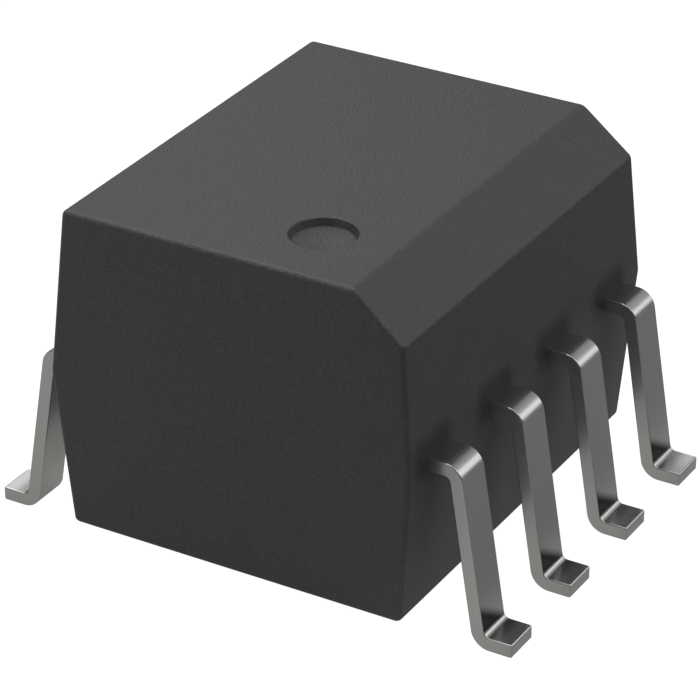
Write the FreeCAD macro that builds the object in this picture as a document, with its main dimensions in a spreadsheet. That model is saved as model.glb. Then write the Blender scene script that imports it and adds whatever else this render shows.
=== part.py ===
# An eight-lead small outline chip in a tall package, of the kind that couples its two rows of
# leads with light. A black moulding with one long chamfer stands on gull-wing leads, and inside it
# a white moulding holds an emitter die face down over a detector die.
#
# The frame: Z up, with z = 0 under the feet and the origin under the middle of the package. Leads 1
# to 4 leave the +X side, from the front (-Y) to the back, and leads 5 to 8 leave the -X side, from
# the back to the front. Lengths are millimetres and angles are degrees.

import FreeCAD, Part
import math
import os

import Sketcher

doc = FreeCAD.newDocument("soic_chip")

# Driving dimensions, one cell each

SIZES = {
    "lead_pitch": 1.27,
    "lead_width": 0.44,
    "lead_thickness": 0.15,
    "lead_length_outside": 0.95,
    "toe_flat": 0.305,
    "leg_lean": 9.1,
    "bend_radius": 0.065,
    "standoff": 0.21,
    "body_width": 4.16,
    "lead_to_end": 0.61,
    "lower_height": 1.79,
    "upper_height": 1.81,
    "side_draft": 4.7,
    "end_draft": 2.8,
    "chamfer_drop": 0.48,
    "chamfer_angle": 40,
    "edge_radius": 0.06,
    "dimple_diameter": 0.69,
    "dimple_depth": 0.1,
    "dimple_draft": 8,
    "dimple_from_chamfer": 0.83,
    "dimple_from_end": 0.87,
    "side_wall": 0.65,
    "end_wall": 0.45,
    "core_cover": 0.4,
    "core_edge_radius": 0.12,
    "anchor_depth": 0.13,
    "anchor_length": 0.2,
    "anchor_width": 0.8,
    "stub_depth": 0.48,
    "jog_depth": 0.38,
    "jog_angle": 45,
    "pad_setback": 1.38,
    "detector_pad_length": 1.9,
    "ground_arm_width": 0.45,
    "finger_gap": 0.2,
    "finger_landing": 0.15,
    "led_pad_reach": 0.27,
    "led_pad_length": 1.1,
    "anode_tip": 0.35,
    "die_margin": 0.15,
    "detector_die_height": 0.25,
    "led_die_width": 0.3,
    "led_die_height": 0.18,
    "die_attach_thickness": 0.02,
    "die_attach_margin": 0.03,
    "optical_gap": 0.19,
    "gel_radius": 0.25,
    "wire_diameter": 0.04,
    "wire_bend_radius": 0.06,
    "wire_loop": 0.1,
    "ball_diameter": 0.09,
    "ball_height": 0.02,
    "bond_inset": 0.08,
    "bond_spacing": 0.5,
}

sheet = doc.addObject("Spreadsheet::Sheet", "Sizes")
for row, (alias, number) in enumerate(SIZES.items(), start=1):
    sheet.set(f"A{row}", alias.replace("_", " "))
    sheet.set(f"B{row}", str(number))
    sheet.setAlias(f"B{row}", alias)
doc.recompute()

# Places that follow from the driving dimensions, as expressions on the sheet

LEADS_A_SIDE = 4
HALF_ROW = (LEADS_A_SIDE - 1) / 2
LEAD_TOP = "(Sizes.standoff + Sizes.lower_height)"
BODY_SIDE = "(Sizes.body_width / 2)"
BODY_END = f"({HALF_ROW} * Sizes.lead_pitch + Sizes.lead_to_end)"
FRAME_OFFSET = (
    "((Sizes.lead_thickness + 2 * Sizes.die_attach_thickness + Sizes.led_die_height"
    " + Sizes.optical_gap + Sizes.detector_die_height) / 2)"
)
LED_PAD_UNDERSIDE = f"({LEAD_TOP} + {FRAME_OFFSET} - Sizes.lead_thickness)"
LED_FACE = f"({LED_PAD_UNDERSIDE} - Sizes.die_attach_thickness - Sizes.led_die_height)"
DETECTOR_PAD_TOP = f"({LEAD_TOP} - {FRAME_OFFSET})"
DETECTOR_DIE_BASE = f"({DETECTOR_PAD_TOP} + Sizes.die_attach_thickness)"
DETECTOR_FACE = f"({DETECTOR_DIE_BASE} + Sizes.detector_die_height)"
DETECTOR_PAD_SIDE = f"({BODY_SIDE} - Sizes.pad_setback)"
DETECTOR_PAD_END = "(Sizes.detector_pad_length / 2)"
DETECTOR_DIE_SIDE = f"({DETECTOR_PAD_SIDE} - Sizes.die_margin)"
DETECTOR_DIE_END = f"({DETECTOR_PAD_END} - Sizes.die_margin)"
FINGER_TIP = f"({DETECTOR_PAD_SIDE} + Sizes.finger_gap)"


def value(expression):
    """The number that an expression on the sheet comes to."""
    return float(sheet.evalExpression(expression))


def bind(obj, **expressions):
    """Ties properties to expressions, with a double underscore standing for a dot."""
    for name, expression in expressions.items():
        obj.setExpression(name.replace("__", "."), expression)


def origin_plane(body, role):
    """One of a body's own three base planes."""
    return next(item for item in body.Origin.OriginFeatures if item.Role == role)


def new_sketch(body, name, role):
    """An empty sketch on one of the body's base planes."""
    sketch = body.newObject("Sketcher::SketchObject", name)
    sketch.AttachmentSupport = [(origin_plane(body, role), "")]
    sketch.MapMode = "FlatFace"
    return sketch


def place_point(sketch, line, end, across, up):
    """Ties one end of a line to two coordinates of the sketch, each an expression."""
    for kind, axis, expression in (("DistanceX", -2, across), ("DistanceY", -1, up)):
        if expression == "0":
            sketch.addConstraint(Sketcher.Constraint("PointOnObject", line, end, axis))
        else:
            number = sketch.addConstraint(Sketcher.Constraint(kind, line, end, value(expression)))
            sketch.setExpression(f"Constraints[{number}]", expression)


def draw_outline(sketch, corners):
    """A closed outline of straight lines through corners, which are pairs of expressions."""
    points = [FreeCAD.Vector(value(across), value(up), 0) for across, up in corners]
    count = len(points)
    for index in range(count):
        sketch.addGeometry(Part.LineSegment(points[index], points[(index + 1) % count]))
    for index, (across, up) in enumerate(corners):
        before = (index - 1) % count
        sketch.addConstraint(Sketcher.Constraint("Coincident", before, 2, index, 1))
        place_point(sketch, index, 1, across, up)


def round_edges(body, base, name, chosen, radius):
    """Fillets the edges of a feature for which chosen(edge) is true."""
    doc.recompute()
    names = [f"Edge{number}" for number, edge in enumerate(base.Shape.Edges, start=1) if chosen(edge)]
    fillet = body.newObject("PartDesign::Fillet", name)
    fillet.Base = (base, names)
    bind(fillet, Radius=radius)
    return fillet


# Leads: strips stamped from one copper sheet and formed, with the outer end bent down to a foot

TOE = f"({BODY_SIDE} + Sizes.lead_length_outside)"
HEEL = f"({TOE} - Sizes.toe_flat)"
SHOULDER = f"({HEEL} - ({LEAD_TOP} - Sizes.lead_thickness) * tan(Sizes.leg_lean))"
LEG_ACROSS = "(Sizes.lead_thickness / cos(Sizes.leg_lean) - Sizes.lead_thickness * tan(Sizes.leg_lean))"
LEAD_UNDERSIDE = f"({LEAD_TOP} - Sizes.lead_thickness)"
JOG_START = f"({BODY_SIDE} - Sizes.jog_depth)"
JOG_END = f"({JOG_START} - {FRAME_OFFSET} / tan(Sizes.jog_angle))"
JOG_SHIFT = "(Sizes.lead_thickness * tan(Sizes.jog_angle / 2))"


def lead_outline(inner_end, jog):
    """The side view of a lead, as corners, and the corners that are bent.

    jog is 1 where the inner end steps up to the emitter's level, -1 where it steps down to the
    detector's, and 0 where it stays level."""
    outer = [(TOE, "0"), (TOE, "Sizes.lead_thickness"), (HEEL, "Sizes.lead_thickness"), (SHOULDER, LEAD_TOP)]
    under = [(f"{SHOULDER} - {LEG_ACROSS}", LEAD_UNDERSIDE), (f"{HEEL} - {LEG_ACROSS}", "0")]
    tight = [outer[2], under[0]]
    wide = [outer[3], under[1]]
    if jog:
        top = f"{LEAD_TOP} + {jog} * {FRAME_OFFSET}"
        upper = [(JOG_START, LEAD_TOP), (JOG_END, top)]
        lower = [
            (f"{JOG_END} - {jog} * {JOG_SHIFT}", f"{top} - Sizes.lead_thickness"),
            (f"{JOG_START} - {jog} * {JOG_SHIFT}", LEAD_UNDERSIDE),
        ]
        if jog > 0:
            tight += [upper[0], lower[0]]
            wide += [upper[1], lower[1]]
        else:
            tight += [upper[1], lower[1]]
            wide += [upper[0], lower[0]]
        inner = upper + [(inner_end, top), (inner_end, f"{top} - Sizes.lead_thickness")] + lower
    else:
        inner = [(inner_end, LEAD_TOP), (inner_end, LEAD_UNDERSIDE)]
    return outer + inner + under, tight, wide


def crosses_at(corners):
    """A test that an edge runs along Y through one of the corners."""
    places = [(value(across), value(up)) for across, up in corners]

    def chosen(edge):
        ends = [vertex.Point for vertex in edge.Vertexes]
        return any(all(math.hypot(end.x - x, end.z - z) < 1e-6 for end in ends) for x, z in places)

    return chosen


def add_block(body, name, low, high):
    """A block added to a body, from one corner to the opposite one, each three expressions."""
    block = body.newObject("PartDesign::AdditiveBox", name)
    bind(
        block,
        Length=f"{high[0]} - {low[0]}",
        Width=f"{high[1]} - {low[1]}",
        Height=f"{high[2]} - {low[2]}",
        Placement__Base__x=low[0],
        Placement__Base__y=low[1],
        Placement__Base__z=low[2],
    )
    return block


def make_lead(number, inner_end, jog):
    """A lead in its own frame, where it reaches out along +X, then turned and moved to its place."""
    body = doc.addObject("PartDesign::Body", f"lead_{number}")
    corners, tight, wide = lead_outline(inner_end, jog)
    sketch = new_sketch(body, f"lead_{number}_outline", "XZ_Plane")
    draw_outline(sketch, corners)
    strip = body.newObject("PartDesign::Pad", f"lead_{number}_strip")
    strip.Profile = sketch
    strip.SideType = "Symmetric"
    bind(strip, Length="Sizes.lead_width")
    inside_radius = "Sizes.bend_radius"
    outside_radius = "Sizes.bend_radius + Sizes.lead_thickness"
    inside = round_edges(body, strip, f"lead_{number}_inside_bends", crosses_at(tight), inside_radius)
    round_edges(body, inside, f"lead_{number}_outside_bends", crosses_at(wide), outside_radius)
    anchor_start = f"({BODY_SIDE} - Sizes.anchor_depth - Sizes.anchor_length)"
    anchor_stop = f"({BODY_SIDE} - Sizes.anchor_depth)"
    add_block(
        body,
        f"lead_{number}_anchor",
        (anchor_start, "(-Sizes.anchor_width / 2)", LEAD_UNDERSIDE),
        (anchor_stop, "(Sizes.anchor_width / 2)", LEAD_TOP),
    )
    right = number <= LEADS_A_SIDE
    steps = number - 1 - HALF_ROW if right else 2 * LEADS_A_SIDE - HALF_ROW - number
    turn = FreeCAD.Rotation(FreeCAD.Vector(0, 0, 1), 0 if right else 180)
    body.Placement = FreeCAD.Placement(FreeCAD.Vector(), turn)
    bind(body, Placement__Base__y=f"{steps} * Sizes.lead_pitch")
    return body


STUB_END = f"({BODY_SIDE} - Sizes.stub_depth)"
LED_PAD_FAR = "(-Sizes.led_pad_reach)"
GROUND_TIP = f"({DETECTOR_PAD_SIDE} - Sizes.ground_arm_width)"

# Where each lead ends inside, from lead 1 on, and whether it steps up, down or stays level
LEAD_FORMS = [(STUB_END, 0), ("Sizes.anode_tip", 1), (LED_PAD_FAR, 1), (STUB_END, 0), (GROUND_TIP, -1)]
LEAD_FORMS += [(FINGER_TIP, -1)] * (2 * LEADS_A_SIDE - len(LEAD_FORMS))

leads = {number: make_lead(number, *form) for number, form in enumerate(LEAD_FORMS, start=1)}

# Emitter pad, one piece with lead 3, which stands half a pitch behind the middle

add_block(
    leads[3],
    "led_pad",
    (LED_PAD_FAR, "(-Sizes.lead_pitch / 2 - Sizes.led_pad_reach)", LED_PAD_UNDERSIDE),
    ("(Sizes.led_pad_length - Sizes.led_pad_reach)", "0", f"({LED_PAD_UNDERSIDE} + Sizes.lead_thickness)"),
)

# Detector pad and its arm, one piece with lead 5, in that lead's turned frame

DETECTOR_PAD_BASE = f"({DETECTOR_PAD_TOP} - Sizes.lead_thickness)"
PAD_NEAR = f"({HALF_ROW} * Sizes.lead_pitch - {DETECTOR_PAD_END})"
PAD_AWAY = f"({HALF_ROW} * Sizes.lead_pitch + {DETECTOR_PAD_END})"
add_block(
    leads[5],
    "ground_arm",
    (GROUND_TIP, "0", DETECTOR_PAD_BASE),
    (DETECTOR_PAD_SIDE, PAD_NEAR, DETECTOR_PAD_TOP),
)
add_block(
    leads[5],
    "detector_pad",
    (f"(-{DETECTOR_PAD_SIDE})", PAD_NEAR, DETECTOR_PAD_BASE),
    (DETECTOR_PAD_SIDE, PAD_AWAY, DETECTOR_PAD_TOP),
)

# Dies, each on a film of silver-filled adhesive


def make_slab(label, half_length, half_width, height, base):
    """A flat rectangular piece centred on the Z axis."""
    slab = doc.addObject("Part::Box", label)
    bind(
        slab,
        Length=f"2 * {half_length}",
        Width=f"2 * {half_width}",
        Height=height,
        Placement__Base__x=f"-{half_length}",
        Placement__Base__y=f"-{half_width}",
        Placement__Base__z=base,
    )
    return slab


LED_HALF = "(Sizes.led_die_width / 2)"
LED_FILM_HALF = "(Sizes.led_die_width / 2 + Sizes.die_attach_margin)"
FILM_SIDE = f"({DETECTOR_DIE_SIDE} + Sizes.die_attach_margin)"
FILM_END = f"({DETECTOR_DIE_END} + Sizes.die_attach_margin)"

detector_die_attach = make_slab(
    "detector_die_attach", FILM_SIDE, FILM_END, "Sizes.die_attach_thickness", DETECTOR_PAD_TOP
)
detector_die = make_slab(
    "detector_die", DETECTOR_DIE_SIDE, DETECTOR_DIE_END, "Sizes.detector_die_height", DETECTOR_DIE_BASE
)
led_die_attach = make_slab(
    "led_die_attach",
    LED_FILM_HALF,
    LED_FILM_HALF,
    "Sizes.die_attach_thickness",
    f"{LED_FACE} + Sizes.led_die_height",
)
led_die = make_slab("led_die", LED_HALF, LED_HALF, "Sizes.led_die_height", LED_FACE)

# Bond wires: gold, each a ball on a die, a loop clear of it and an end on a lead


def draw_wire_path(path, span, landing, way):
    """A rise, a level run and a fall, with an arc between each two. way is 1 for up, -1 for down."""
    loop = f"{way} * Sizes.wire_loop"
    bend = f"{way} * (Sizes.wire_loop - Sizes.wire_bend_radius)"
    past_bend = f"({span} - Sizes.wire_bend_radius)"
    runs = [
        (("0", "0"), ("0", bend)),
        (("Sizes.wire_bend_radius", loop), (past_bend, loop)),
        ((span, bend), (span, landing)),
    ]
    points = [[FreeCAD.Vector(value(across), value(up), 0) for across, up in run] for run in runs]
    for index, run in enumerate(runs):
        path.addGeometry(Part.LineSegment(*points[index]))
        for end, (across, up) in enumerate(run, start=1):
            place_point(path, index, end, across, up)
    radius = value("Sizes.wire_bend_radius")
    for index, side in ((0, -1), (1, 1)):
        middle_x = radius if side < 0 else value(past_bend)
        centre = FreeCAD.Vector(middle_x, value(bend), 0)
        crown = centre + FreeCAD.Vector(side, way, 0) * (radius / math.sqrt(2))
        arc = path.addGeometry(Part.Arc(points[index][1], crown, points[index + 1][0]))
        for line, end in ((index, 2), (index + 1, 1)):
            place = path.getPoint(line, end)
            near = min((1, 2), key=lambda number: path.getPoint(arc, number).distanceToPoint(place))
            path.addConstraint(Sketcher.Constraint("Coincident", arc, near, line, end))
        number = path.addConstraint(Sketcher.Constraint("Radius", arc, radius))
        path.setExpression(f"Constraints[{number}]", "Sizes.wire_bend_radius")


def make_wire(label, start, finish, way):
    """A wire from start to finish, each three expressions, in its own frame and then placed."""
    body = doc.addObject("PartDesign::Body", label)
    east = f"({finish[0]} - ({start[0]}))"
    north = f"({finish[1]} - ({start[1]}))"
    span = f"sqrt({east} * {east} + {north} * {north})"
    path = new_sketch(body, f"{label}_path", "XZ_Plane")
    draw_wire_path(path, span, f"({finish[2]} - ({start[2]}))", way)
    section = new_sketch(body, f"{label}_section", "XY_Plane")
    wire_radius = "Sizes.wire_diameter / 2"
    section.addGeometry(Part.Circle(FreeCAD.Vector(), FreeCAD.Vector(0, 0, 1), value(wire_radius)))
    section.addConstraint(Sketcher.Constraint("Coincident", 0, 3, -1, 1))
    number = section.addConstraint(Sketcher.Constraint("Radius", 0, value(wire_radius)))
    section.setExpression(f"Constraints[{number}]", wire_radius)
    doc.recompute()
    wire = body.newObject("PartDesign::AdditivePipe", f"{label}_wire")
    wire.Profile = section
    wire.Spine = (path, [])
    ball = body.newObject("PartDesign::AdditiveCylinder", f"{label}_ball")
    base = "0" if way > 0 else "-Sizes.ball_height"
    bind(ball, Radius="Sizes.ball_diameter / 2", Height="Sizes.ball_height", Placement__Base__z=base)
    body.Placement = FreeCAD.Placement(FreeCAD.Vector(), FreeCAD.Rotation(FreeCAD.Vector(0, 0, 1), 90))
    bind(
        body,
        Placement__Base__x=start[0],
        Placement__Base__y=start[1],
        Placement__Base__z=start[2],
        Placement__Rotation__Angle=f"atan2({north}; {east})",
    )
    return body


BOND_X = f"(-({DETECTOR_DIE_SIDE} - Sizes.bond_inset))"
BOND_FAR_Y = f"({DETECTOR_DIE_END} - Sizes.bond_inset)"
LANDING_X = f"(-({FINGER_TIP} + Sizes.finger_landing))"
ROW_1 = "(Sizes.lead_pitch / 2)"
ROW_2 = f"({HALF_ROW} * Sizes.lead_pitch)"

bond_wires = [
    make_wire(
        "bond_wire_anode",
        ("0", "0", LED_FACE),
        ("(Sizes.anode_tip + Sizes.finger_landing)", f"(-{ROW_1})", LED_PAD_UNDERSIDE),
        -1,
    ),
    make_wire(
        "bond_wire_ground",
        (BOND_X, BOND_FAR_Y, DETECTOR_FACE),
        (BOND_X, f"({DETECTOR_PAD_END} + Sizes.ground_arm_width / 2)", DETECTOR_PAD_TOP),
        1,
    ),
    make_wire(
        "bond_wire_output",
        (BOND_X, "(Sizes.bond_spacing / 2)", DETECTOR_FACE),
        (LANDING_X, ROW_1, DETECTOR_PAD_TOP),
        1,
    ),
    make_wire(
        "bond_wire_enable",
        (BOND_X, "(-Sizes.bond_spacing / 2)", DETECTOR_FACE),
        (LANDING_X, f"(-{ROW_1})", DETECTOR_PAD_TOP),
        1,
    ),
    make_wire(
        "bond_wire_supply",
        (BOND_X, f"(-{BOND_FAR_Y})", DETECTOR_FACE),
        (LANDING_X, f"(-{ROW_2})", DETECTOR_PAD_TOP),
        1,
    ),
]


def fuse(label, pieces):
    """The union of several pieces."""
    union = doc.addObject("Part::MultiFuse", label)
    union.Shapes = pieces
    return union


def cut(label, base, tool):
    """What is left of one piece round another."""
    rest = doc.addObject("Part::Cut", label)
    rest.Base = base
    rest.Tool = tool
    return rest


# Coupling gel: a drop of clear silicone from the emitter's pad to the detector, round the emitter

gel_column = doc.addObject("Part::Cylinder", "gel_column")
bind(
    gel_column,
    Radius="Sizes.gel_radius",
    Height=f"{LED_PAD_UNDERSIDE} - {DETECTOR_FACE}",
    Placement__Base__z=DETECTOR_FACE,
)
coupling_gel = cut("coupling_gel", gel_column, fuse("in_gel", [led_die, led_die_attach, bond_wires[0]]))

# Mouldings: each is cast in two half cavities that meet at the top of the leads, and so its walls
# lean in both ways from that parting line


def make_half(label, width, length, height, drafts, way):
    """Half of a moulding, standing on the parting plane, up (1) or hanging under it (-1)."""
    side_draft, end_draft = drafts
    body = doc.addObject("PartDesign::Body", label)
    block = body.newObject("PartDesign::AdditiveWedge", f"{label}_block")
    block.Placement = FreeCAD.Placement(FreeCAD.Vector(), FreeCAD.Rotation(FreeCAD.Vector(1, 0, 0), 90))
    narrow = f"({width} / 2 - {height} * tan({side_draft}))"
    short = f"({length} / 2 - {height} * tan({end_draft}))"
    bind(
        block,
        Ymin="0",
        Ymax=height,
        Xmin=f"-{width} / 2",
        Xmax=f"{width} / 2",
        Zmin=f"-{length} / 2",
        Zmax=f"{length} / 2",
        X2min=f"-{narrow}",
        X2max=narrow,
        Z2min=f"-{short}",
        Z2max=short,
    )
    body.Placement = FreeCAD.Placement(
        FreeCAD.Vector(), FreeCAD.Rotation(FreeCAD.Vector(1, 0, 0), 0 if way > 0 else 180)
    )
    bind(body, Placement__Base__z=LEAD_TOP)
    return body, block


def off_parting_plane(edge):
    """True for an edge that doesn't lie in the plane z = 0 of its own body."""
    return edge.BoundBox.ZMax > 1e-6


DRAFTS = ("Sizes.side_draft", "Sizes.end_draft")
CORE_WIDTH = "(Sizes.body_width - 2 * Sizes.side_wall)"
CORE_LENGTH = f"(2 * ({BODY_END} - Sizes.end_wall))"

core_halves = []
for label, height, way in (
    ("core_upper_half", f"({FRAME_OFFSET} + Sizes.core_cover)", 1),
    ("core_lower_half", f"({FRAME_OFFSET} + Sizes.lead_thickness + Sizes.core_cover)", -1),
):
    half, block = make_half(label, CORE_WIDTH, CORE_LENGTH, height, DRAFTS, way)
    round_edges(half, block, f"{label}_edges", off_parting_plane, "Sizes.core_edge_radius")
    core_halves.append(half)

upper_half, upper_block = make_half(
    "body_upper_half", "Sizes.body_width", f"(2 * {BODY_END})", "Sizes.upper_height", DRAFTS, 1
)
lower_half, lower_block = make_half(
    "body_lower_half", "Sizes.body_width", f"(2 * {BODY_END})", "Sizes.lower_height", DRAFTS, -1
)

# Chamfer along the top of the side that leads 1 to 4 leave

CHAMFER_FOOT_Z = "(Sizes.upper_height - Sizes.chamfer_drop)"
CHAMFER_FOOT_X = f"({BODY_SIDE} - {CHAMFER_FOOT_Z} * tan(Sizes.side_draft))"
CHAMFER_TOP_X = f"({CHAMFER_FOOT_X} - Sizes.chamfer_drop / tan(Sizes.chamfer_angle))"
chamfer_outline = new_sketch(upper_half, "chamfer_outline", "XZ_Plane")
draw_outline(
    chamfer_outline,
    [
        (CHAMFER_TOP_X, "Sizes.upper_height"),
        (CHAMFER_FOOT_X, CHAMFER_FOOT_Z),
        (BODY_SIDE, CHAMFER_FOOT_Z),
        (BODY_SIDE, "Sizes.upper_height"),
    ],
)
chamfer = upper_half.newObject("PartDesign::Pocket", "chamfer")
chamfer.Profile = chamfer_outline
chamfer.Type = "ThroughAll"
chamfer.SideType = "Symmetric"
upper_edges = round_edges(upper_half, chamfer, "upper_edges", off_parting_plane, "Sizes.edge_radius")
round_edges(lower_half, lower_block, "lower_edges", off_parting_plane, "Sizes.edge_radius")

# Dimple that marks lead 1, set in from the chamfer and from the front end

dimple = upper_half.newObject("PartDesign::SubtractiveCone", "dimple")
bind(
    dimple,
    Radius1="Sizes.dimple_diameter / 2 - Sizes.dimple_depth * tan(Sizes.dimple_draft)",
    Radius2="Sizes.dimple_diameter / 2",
    Height="Sizes.dimple_depth",
    Placement__Base__x=f"{CHAMFER_TOP_X} - Sizes.dimple_from_chamfer",
    Placement__Base__y=f"-({BODY_END} - Sizes.upper_height * tan(Sizes.end_draft)) + Sizes.dimple_from_end",
    Placement__Base__z="Sizes.upper_height - Sizes.dimple_depth",
)

metal = list(leads.values())
held = [detector_die_attach, detector_die, led_die_attach, led_die, gel_column] + bond_wires
core = fuse("core", core_halves)
inner_mould = cut("inner_mould", core, fuse("in_core", metal + held))
package = fuse("package", [upper_half, lower_half])
mould_body = cut("mould_body", package, fuse("in_package", metal + [core]))

doc.recompute()

# Every object is checked, and then each piece is written to its own file

PIECES = [mould_body, inner_mould, coupling_gel, led_die, led_die_attach, detector_die, detector_die_attach]
PIECES += metal + bond_wires

for obj in doc.Objects:
    faults = [word for word in ("Invalid", "Error") if word in obj.State]
    if faults:
        raise SystemExit(f"{obj.Label}: {faults}")

os.makedirs("parts", exist_ok=True)
for piece in PIECES:
    shape = piece.Shape
    if shape.isNull() or not shape.isValid() or len(shape.Solids) != 1:
        raise SystemExit(f"{piece.Label}: not one valid solid")
    shape.exportStep(f"parts/{piece.Label}.step")
    box = shape.BoundBox
    print(
        f"{piece.Label}: {shape.Volume:.5f} mm3,"
        f" x {box.XMin:.3f} {box.XMax:.3f}, y {box.YMin:.3f} {box.YMax:.3f}, z {box.ZMin:.3f} {box.ZMax:.3f}"
    )
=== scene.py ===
import math

import bpy
import numpy as np
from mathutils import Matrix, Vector


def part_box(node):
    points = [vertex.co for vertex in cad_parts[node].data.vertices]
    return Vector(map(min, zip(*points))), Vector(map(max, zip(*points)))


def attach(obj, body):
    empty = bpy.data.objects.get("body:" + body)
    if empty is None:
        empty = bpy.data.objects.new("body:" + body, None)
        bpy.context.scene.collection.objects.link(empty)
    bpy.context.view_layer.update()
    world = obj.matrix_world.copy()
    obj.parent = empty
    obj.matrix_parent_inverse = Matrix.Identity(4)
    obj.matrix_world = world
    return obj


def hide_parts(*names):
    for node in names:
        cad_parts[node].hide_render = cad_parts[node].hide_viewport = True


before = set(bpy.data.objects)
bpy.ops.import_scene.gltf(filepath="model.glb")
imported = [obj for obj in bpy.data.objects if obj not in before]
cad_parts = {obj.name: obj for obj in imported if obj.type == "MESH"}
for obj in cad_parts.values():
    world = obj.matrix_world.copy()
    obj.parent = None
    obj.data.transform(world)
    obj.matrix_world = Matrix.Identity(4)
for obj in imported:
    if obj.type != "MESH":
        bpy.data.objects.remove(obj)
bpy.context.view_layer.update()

# Sizes are in millimetres, and this turns them into metres
MM = 0.001

# Leads
# Eight strips of copper alloy, stamped from one sheet with the pads that carry the dies, plated
# with tin, and formed after moulding: out of the body, over a tight shoulder, down a leg that
# leans out, and round a heel to a flat foot that is soldered to the board.

PITCH = 1.27
LEAD_WIDTH = 0.44
LEAD_THICKNESS = 0.15
TOE_FLAT = 0.305
LEG_LEAN = math.radians(9.1)
BEND_RADIUS = 0.065
STAMPED_EDGE = 0.014
END_EDGE = 0.02
STEP_SUPPORT = 0.03
STEP_SUPPORT_SHARE = 0.4
BEND_STEPS = 10
STRIP_CORNER_POINTS = 5
STRIP_END_POINTS = 7
SAME_PLACE = 1e-9
JOG_ANGLE = math.radians(45)
JOG_DEPTH = 0.38
ANCHOR_NEAR = 0.13
ANCHOR_LENGTH = 0.2
ANCHOR_WIDTH = 0.8
LED_PAD_LENGTH = 1.1
ARM_WIDTH = 0.45
DETECTOR_PAD_LENGTH = 1.9
body_low, body_high = (np.array(corner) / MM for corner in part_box("mould_body"))
lead_low, lead_high = (np.array(corner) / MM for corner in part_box("lead_1"))
led_low, led_high = (np.array(corner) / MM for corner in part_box("lead_3"))
pad_high = np.array(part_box("lead_5")[1]) / MM
lead_top = lead_high[2]
frame_offset = led_high[2] - lead_top
toe_x = lead_high[0]
heel_x = toe_x - TOE_FLAT
shoulder_x = heel_x - (lead_top - LEAD_THICKNESS) * math.tan(LEG_LEAN)
leg_across = LEAD_THICKNESS / math.cos(LEG_LEAN) - LEAD_THICKNESS * math.tan(LEG_LEAN)
half_width = LEAD_WIDTH / 2
outer_lead_y = 1.5 * PITCH
pad_far = outer_lead_y + DETECTOR_PAD_LENGTH / 2
pad_near = outer_lead_y - DETECTOR_PAD_LENGTH / 2
plain = (-half_width, half_width)
anchor = [
    (body_high[0] - ANCHOR_NEAR - ANCHOR_LENGTH, (-ANCHOR_WIDTH / 2, ANCHOR_WIDTH / 2)),
    (body_high[0] - ANCHOR_NEAR, plain),
]


def bent_line(corners, radius):
    """A line through corners, with each turn made by an arc that touches both of its runs.

    An arc starts and ends the radius times the tangent of half the turn away from the corner."""
    corners = np.array(corners, float)
    stretches = [corners[:1]]
    for before, corner, after in zip(corners[:-2], corners[1:-1], corners[2:]):
        ahead = (corner - before) / np.linalg.norm(corner - before)
        beyond = (after - corner) / np.linalg.norm(after - corner)
        turn = math.atan2(ahead[0] * beyond[1] - ahead[1] * beyond[0], ahead @ beyond)
        side = math.copysign(1, turn)
        start = corner - ahead * radius * math.tan(abs(turn) / 2)
        normal = np.array([-ahead[1], ahead[0]]) * side
        angle = np.linspace(0, abs(turn), BEND_STEPS + 1)[:, None]
        stretches.append(start + radius * (np.sin(angle) * ahead + (1 - np.cos(angle)) * normal))
    return np.concatenate(stretches + [corners[-1:]])


def with_steps(line, steps):
    """The points of a line, with four more at each place along X where the width steps.

    A step's length along the line is interpolated from its X. Its outer two points stand a little
    before and past it, on the way to the line's own points, and keep its bend in the shading short.
    Each point's distances across the strip to its two edges are those of the last step passed."""
    edges = np.array([edge for _, edge in steps])
    places = np.array([place for place, _ in steps[1:]])
    along = np.concatenate([[0], np.cumsum(np.linalg.norm(np.diff(line, axis=0), axis=1))])
    run = np.searchsorted(line[:, 0], places) - 1
    at = np.interp(places, line[:, 0], along)
    before = at - np.minimum(STEP_SUPPORT, STEP_SUPPORT_SHARE * (at - along[run]))
    past = at + np.minimum(STEP_SUPPORT, STEP_SUPPORT_SHARE * (along[run + 1] - at))
    lengths = np.concatenate([np.stack([before, at, at, past], axis=1).ravel(), along])
    number = np.arange(len(places))
    passed = np.concatenate(
        [
            np.stack([number, number, number + 1, number + 1], axis=1).ravel(),
            np.searchsorted(places, line[:, 0], side="right"),
        ]
    )
    order = np.argsort(lengths, kind="stable")
    points = np.stack([np.interp(lengths[order], along, line[:, axis]) for axis in (0, 1)], axis=1)
    return points, edges[passed[order]]


def strip_section(low, high, thickness, radius):
    """Rounded rectangles across a strip, one row a station: across it, and out of its face.

    Each corner is a quarter circle about a centre one radius in from both faces."""
    centres_across = np.stack([high - radius, high - radius, low + radius, low + radius], axis=1)
    half = thickness / 2 - radius
    centres_out = np.stack([-half, half, half, -half], axis=1)
    angle = np.radians(-90 + 90 * np.arange(4)[:, None] + np.linspace(0, 90, STRIP_CORNER_POINTS))
    across = centres_across[:, :, None] + radius[:, None, None] * np.cos(angle)
    out = centres_out[:, :, None] + radius[:, None, None] * np.sin(angle)
    return across.reshape(len(low), -1), out.reshape(len(low), -1)


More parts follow.
